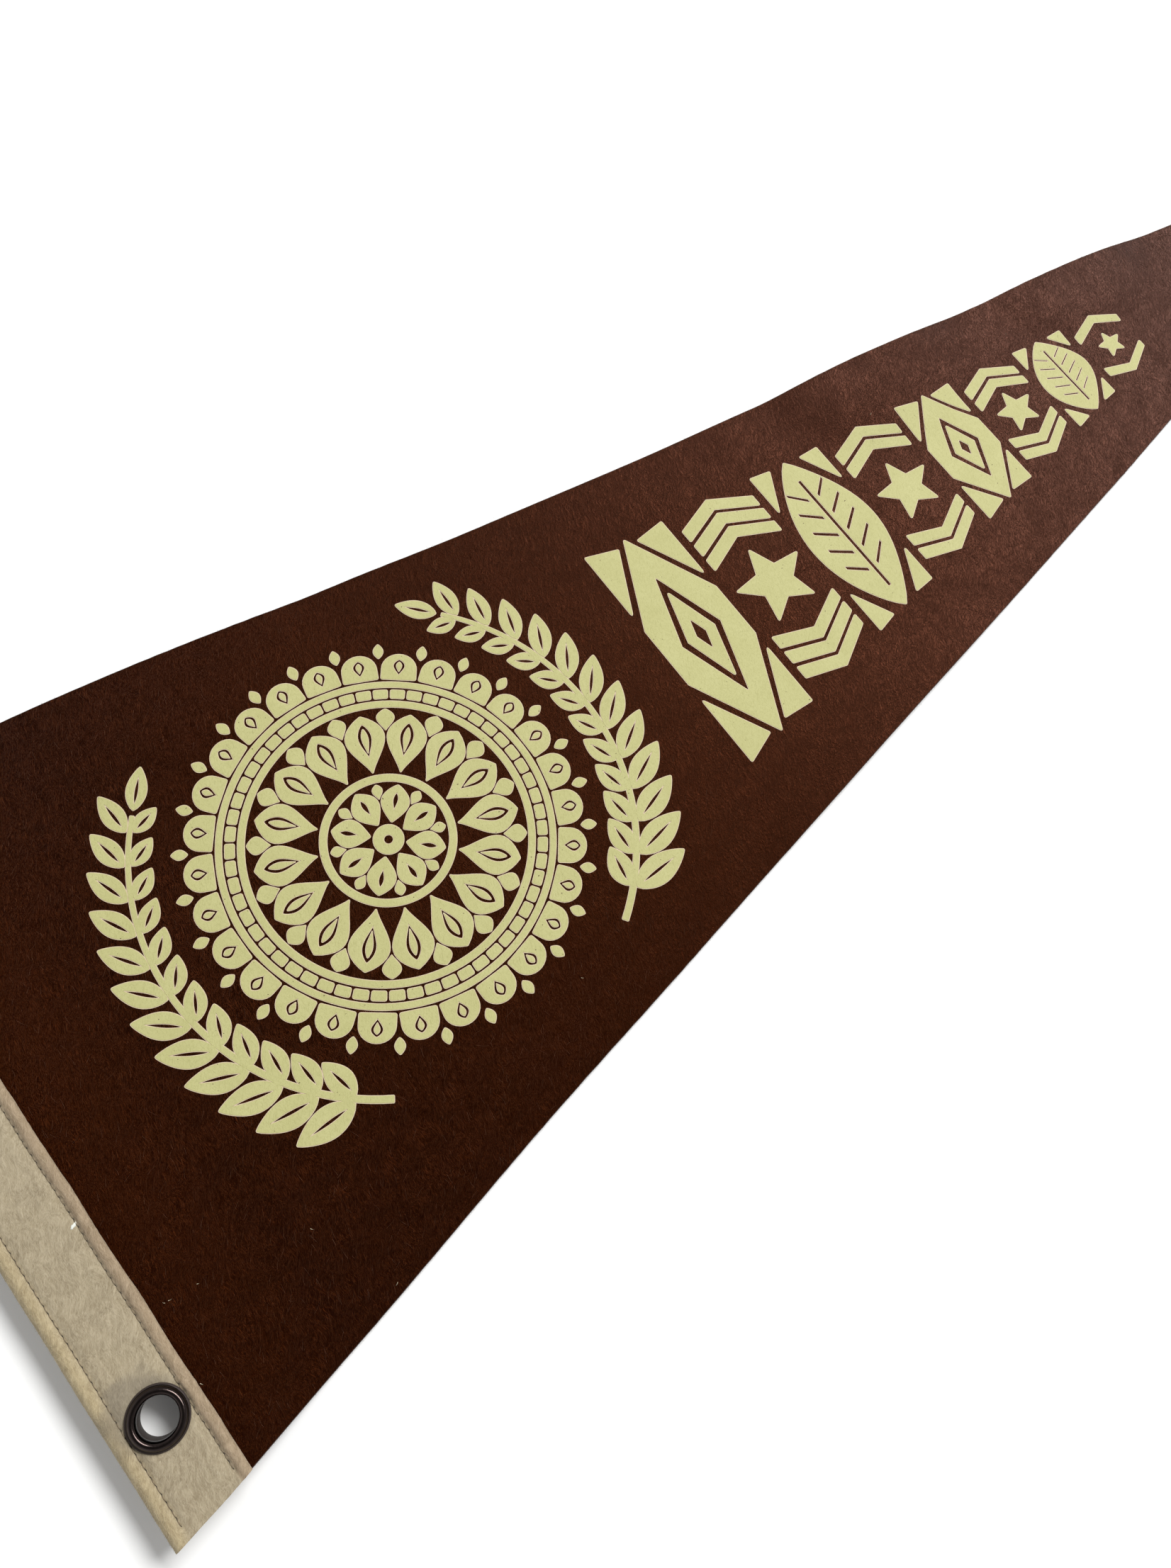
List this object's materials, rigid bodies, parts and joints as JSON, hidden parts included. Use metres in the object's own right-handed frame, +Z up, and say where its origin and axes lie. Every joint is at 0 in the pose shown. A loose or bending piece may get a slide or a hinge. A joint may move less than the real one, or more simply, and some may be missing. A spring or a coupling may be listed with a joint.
{
  "type": "pennant flag",
  "caption": "Long triangular felt pennant with a folded, stitched heading and metal eyelets, lying face up; it hangs from its eyelets.",
  "frame": {"origin": "centre of the box's bottom: on the surface that the pennant lies on, halfway along it and on its middle line", "axes": "+X along the pennant from the hoist to the tip, +Y across it to its upper edge, +Z up out of the printed face"},
  "size_m": [0.7, 0.23, 0.0123],
  "materials": {
    "brown_felt": "matt pressed wool felt, dark chocolate brown, with fine lighter fibres",
    "cream_felt": "matt pressed wool felt, mottled cream",
    "gunmetal": "polished dark nickel plating",
    "khaki_film": "satin flock-like transfer film, pale olive",
    "brown_thread": "spun polyester sewing thread"
  },
  "bodies": {
    "root": {"pennant_cloth": "brown_felt", "heading": "cream_felt", "eyelet_lower": "gunmetal", "eyelet_upper": "gunmetal", "washer_lower": "gunmetal", "washer_upper": "gunmetal"}
  },
  "joints": []
}
